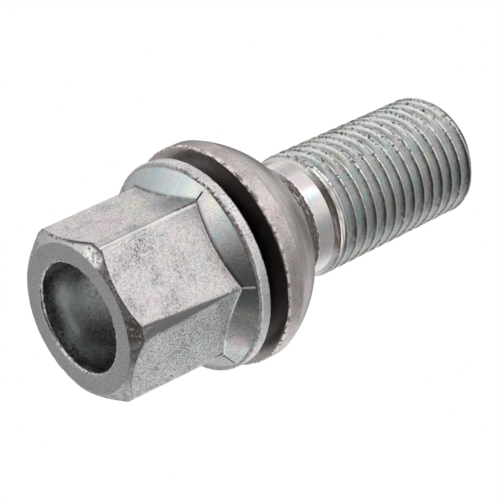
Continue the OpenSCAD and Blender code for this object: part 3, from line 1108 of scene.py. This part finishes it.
def build_thread(settings):
    """The rolled thread, from the end of the shank to the tip."""
    sizes, neck = settings.bolt_thread, settings.bolt_neck
    values = {
        "Crest Radius": sizes.crest_radius,
        "Shank Radius": neck.shank_radius,
        "Pitch": sizes.pitch,
        "Depth": sizes.depth,
        "Start": neck.shank_end,
        "Run-out": sizes.runout,
        "Tip": BOLT_HIGH.z,
        "Tip Chamfer": sizes.tip_chamfer,
        "Crest Height": sizes.crest_height,
        "Nick": sizes.nick,
        "Steps Round": sizes.steps_round,
        "Turns": math.ceil((BOLT_HIGH.z - sizes.crest_height) / sizes.pitch) + 4,
        "Material": thread_zinc(settings.bolt_finish),
    }
    piece = add_object("bolt_thread", bpy.data.meshes.new("bolt_thread"))
    modifier = piece.modifiers.new("thread", "NODES")
    modifier.node_group = tree = thread_tree(values)
    names = {s.name: s.identifier for s in tree.interface.items_tree if s.in_out == "INPUT"}
    for name, value in values.items():
        modifier[names[name]] = value
    evaluated = piece.evaluated_get(bpy.context.evaluated_depsgraph_get())
    mesh = bpy.data.meshes.new_from_object(evaluated)
    piece.modifiers.clear()
    piece.data = mesh
    return piece


def build_ring(settings):
    """The loose ring: ball seat outside, cone and bore inside, rounded edges."""
    sizes = settings.bolt_ring
    edge, bore, nose = sizes.edge, sizes.bore_radius, sizes.nose
    nose_break, oil_and_shade_reach = 0.05 * MM, 1.9 * MM
    nose_wear, rim_wear = 0.5 * MM, 0.25 * MM
    ball_height = nose - math.sqrt(sizes.ball_radius**2 - sizes.nose_radius**2)
    skin = Skin(np.linspace(0, 2 * math.pi, 240, endpoint=False))
    bore_start = (bore, sizes.back + sizes.mouth_radius - bore)
    mouth = (sizes.mouth_radius + 0.02 * MM, sizes.back)
    back_corner = (sizes.radius - edge, sizes.back + edge)
    bore_end = (bore, nose - nose_break)
    skin.follow([bore_end], "ring", 0.8)
    # Marks the bore, the inner cone and the back near it for an oily film and for painted shade in
    # the gap under the flange.
    skin.follow(line(bore_end, bore_start, 6), "ring", 0, 0.9)
    skin.follow(line(bore_start, mouth, 5), "ring", 0, 1)
    for radius, height in line(mouth, (back_corner[0], sizes.back), 12):
        skin.add(radius, height, "ring", 0, np.clip(1 - (radius - mouth[0]) / oil_and_shade_reach, 0, 1))
    skin.follow(arc(back_corner, edge, -90, 0, 6)[1:], "ring", 1)
    ball_start = ball_height + math.sqrt(sizes.ball_radius**2 - sizes.radius**2)
    side_end = (sizes.radius, ball_start - 0.1 * MM)
    skin.follow(line((sizes.radius, sizes.back + edge), side_end, 5), "ring")
    low, high = (
        math.degrees(math.asin((height - ball_height) / sizes.ball_radius))
        for height in (ball_start, nose - nose_break)
    )
    for radius, height in arc((0, ball_height), sizes.ball_radius, low, high, 26):
        near = max(0.0, 1 - (nose - height) / nose_wear)
        rim = max(0.0, 1 - (height - ball_start) / rim_wear)
        skin.add(radius, height, "ring", max(near, 0.2 * rim))
    skin.add(sizes.nose_radius - 0.03 * MM, nose, "ring", 1.0)
    skin.add(bore + nose_break, nose, "ring", 1.0)
    skin.add(bore, nose - nose_break, "ring", 0.8)

    def carve(points, worn):
        nicked = crumble(points, 1.1 * MM, 0.45, 0.8)
        return sizes.nick * nicked * worn**2

    return close_ring(skin, {"ring": turned_steel(settings.bolt_finish)}, carve)


def close_ring(skin, bands, carve):
    """Builds a skin that comes back to its first ring, without the caps on the axis."""
    piece = skin.build("ring_turned", bands, carve)
    mesh = piece.data
    count = len(skin.angles) * len(skin.rings)
    weld = 0.004 * MM
    work = bmesh.new()
    work.from_mesh(mesh)
    work.verts.ensure_lookup_table()
    poles = [work.verts[count], work.verts[count + 1]]
    bmesh.ops.delete(work, geom=poles, context="VERTS")
    bmesh.ops.remove_doubles(work, verts=work.verts[:], dist=weld)
    work.to_mesh(mesh)
    work.free()
    return piece


def build_floor(studio):
    """A pale floor that only cameras above it see, which keeps the photograph's view open."""
    half = studio.floor_size / 2
    low = BOLT_LOW.z - studio.floor_gap
    mesh = bpy.data.meshes.new("floor")
    square = [(-half, -half, low), (half, -half, low), (half, half, low), (-half, half, low)]
    mesh.from_pydata(square, [], [(0, 1, 2, 3)])
    floor = add_object("floor", mesh)
    material = bpy.data.materials.new("pale_floor")
    material.use_nodes = True
    graph = Graph(material.node_tree)
    camera = graph.node("ShaderNodeLightPath", output="Is Camera Ray")
    below = graph.node("ShaderNodeNewGeometry", output="Backfacing")
    place = graph.node("ShaderNodeTexCoord", output="Object")
    near = graph.ramp(graph.measure("LENGTH", place), half, half / 4)
    clear = graph.node("ShaderNodeBsdfTransparent")
    glow = studio.floor_glow
    pale = graph.node(
        "ShaderNodeBsdfPrincipled",
        inputs={
            "Base Color": (*studio.floor_colour, 1),
            "Roughness": 1.0,
            "Specular IOR Level": 0.0,
            "Emission Color": (glow, glow, glow, 1),
            "Emission Strength": 1.0,
        },
    )
    seen = camera * (1 - below) * near
    shown = graph.node("ShaderNodeMixShader", inputs={0: seen, 1: clear, 2: pale})
    graph.node("ShaderNodeOutputMaterial", inputs={"Surface": shown})
    mesh.materials.append(material)


def photo_axes(studio):
    """The photograph's right, up and back directions, in the part's frame."""
    ahead = (Vector(studio.camera_aim) - Vector(studio.camera_place)).normalized()
    turned = ahead.to_track_quat("-Z", "Y").to_matrix()
    roll = studio.camera_roll
    right = turned.col[0] * math.cos(roll) + turned.col[1] * math.sin(roll)
    up = turned.col[1] * math.cos(roll) - turned.col[0] * math.sin(roll)
    return right, up, -ahead


def build_lamp(name, direction, size, power, mirrored, middle):
    """A round lamp that looks at the middle of the part."""
    light = bpy.data.lights.new(name, "AREA")
    light.shape = "DISK"
    light.size = size
    light.energy = power
    lamp = add_object(name, light)
    lamp.visible_glossy = mirrored
    lamp.location = middle + direction * LAMP_DISTANCE
    lamp.rotation_mode = "QUATERNION"
    lamp.rotation_quaternion = (-direction).to_track_quat("-Z", "Y")


def heading(azimuth, elevation):
    """Direction at an azimuth from the X axis and an elevation, in degrees."""
    turn, lift = math.radians(azimuth), math.radians(elevation)
    level = math.cos(lift)
    return Vector((math.cos(turn) * level, math.sin(turn) * level, math.sin(lift)))


def build_world(studio):
    """White to cameras, white with soft dark places to reflections, plain light to the rest."""
    world = bpy.data.worlds.new("white_surroundings")
    world.use_nodes = True
    graph = Graph(world.node_tree)
    toward = graph.node("ShaderNodeTexCoord", output="Generated")
    light = 1.0
    for azimuth, elevation, reach, fade, depth in DARK_PLACES.values():
        near = graph.measure("DOT_PRODUCT", toward, heading(azimuth, elevation))
        light = light * (1 - graph.ramp(near, cosine(reach + fade), cosine(reach)) * depth)
    path = graph.node("ShaderNodeLightPath").socket.node.outputs
    rays = ("Is Camera Ray", "Is Glossy Ray", "Is Transmission Ray")
    camera, glossy, clear = (Wire(graph, path[name]) for name in rays)
    plain = graph.node("ShaderNodeBackground", inputs={"Strength": studio.daylight})
    level = 1 - glossy * (1 - light * studio.walls)
    white = graph.node("ShaderNodeBackground", inputs={"Color": (1, 1, 1, 1), "Strength": level})
    seen = camera + glossy + clear
    shown = graph.node("ShaderNodeMixShader", inputs={0: seen.least(1.0), 1: plain, 2: white})
    graph.node("ShaderNodeOutputWorld", inputs={"Surface": shown})
    bpy.context.scene.world = world


def build_camera(studio):
    """The photograph's camera, close to the head's end and below it."""
    data = bpy.data.cameras.new("photo_camera")
    data.sensor_width = 36
    data.lens = studio.lens
    data.clip_start = 0.005
    data.clip_end = 5
    camera = add_object("photo_camera", data)
    right, up, back = photo_axes(studio)
    camera.matrix_world = Matrix.LocRotScale(
        Vector(studio.camera_place), Matrix((right, up, back)).transposed(), None
    )
    bpy.context.scene.camera = camera


class BOLT_OT_forging(bpy.types.Operator):
    """Builds the bolt's forging: head, flare, flange, cone and shank"""

    bl_idname = "wheel_bolt.forging"
    bl_label = "Forging"

    def execute(self, context):
        piece = build_forging(context.scene)
        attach(piece, "bolt")
        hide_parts("bolt")
        return {"FINISHED"}


class BOLT_OT_thread(bpy.types.Operator):
    """Rolls the right-hand thread on the bolt"""

    bl_idname = "wheel_bolt.thread"
    bl_label = "Thread"

    def execute(self, context):
        piece = build_thread(context.scene)
        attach(piece, "bolt")
        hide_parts("bolt")
        return {"FINISHED"}


class BOLT_OT_ring(bpy.types.Operator):
    """Turns the loose ball-seat ring"""

    bl_idname = "wheel_bolt.ring"
    bl_label = "Ring"

    def execute(self, context):
        piece = build_ring(context.scene)
        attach(piece, "seat_ring")
        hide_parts("seat_ring")
        return {"FINISHED"}


class BOLT_OT_stage(bpy.types.Operator):
    """Sets the floor, the white surroundings, the lamps and the camera"""

    bl_idname = "wheel_bolt.stage"
    bl_label = "Stage"

    def execute(self, context):
        studio = context.scene.bolt_studio
        middle = (BOLT_LOW + BOLT_HIGH) / 2
        build_floor(studio)
        build_world(studio)
        for name, (azimuth, elevation, *light) in LAMPS.items():
            build_lamp(name, heading(azimuth, elevation), *light, middle)
        build_camera(studio)
        context.scene.view_settings.view_transform = "Standard"
        return {"FINISHED"}


class BOLT_PT_panel(bpy.types.Panel):
    """Lists the wheel bolt's operators"""

    bl_idname = "BOLT_PT_panel"
    bl_label = "Wheel bolt"
    bl_space_type = "VIEW_3D"
    bl_region_type = "UI"
    bl_category = "Wheel bolt"

    def draw(self, context):
        for operator in OPERATORS:
            self.layout.operator(operator.bl_idname)


GROUPS = {
    "bolt_head": HeadSizes,
    "bolt_neck": NeckSizes,
    "bolt_thread": ThreadSizes,
    "bolt_ring": RingSizes,
    "bolt_finish": FinishColours,
    "bolt_studio": StudioSettings,
}
OPERATORS = [BOLT_OT_forging, BOLT_OT_thread, BOLT_OT_ring, BOLT_OT_stage]


def register():
    for name, group in GROUPS.items():
        bpy.utils.register_class(group)
        setattr(bpy.types.Scene, name, PointerProperty(type=group))
    for made in [*OPERATORS, BOLT_PT_panel]:
        bpy.utils.register_class(made)


def unregister():
    for made in reversed([*OPERATORS, BOLT_PT_panel]):
        bpy.utils.unregister_class(made)
    for name, group in GROUPS.items():
        delattr(bpy.types.Scene, name)
        bpy.utils.unregister_class(group)


def main():
    register()
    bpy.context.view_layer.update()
    bpy.ops.wheel_bolt.forging()
    bpy.ops.wheel_bolt.thread()
    bpy.ops.wheel_bolt.ring()
    bpy.ops.wheel_bolt.stage()


if __name__ == "__main__":
    main()
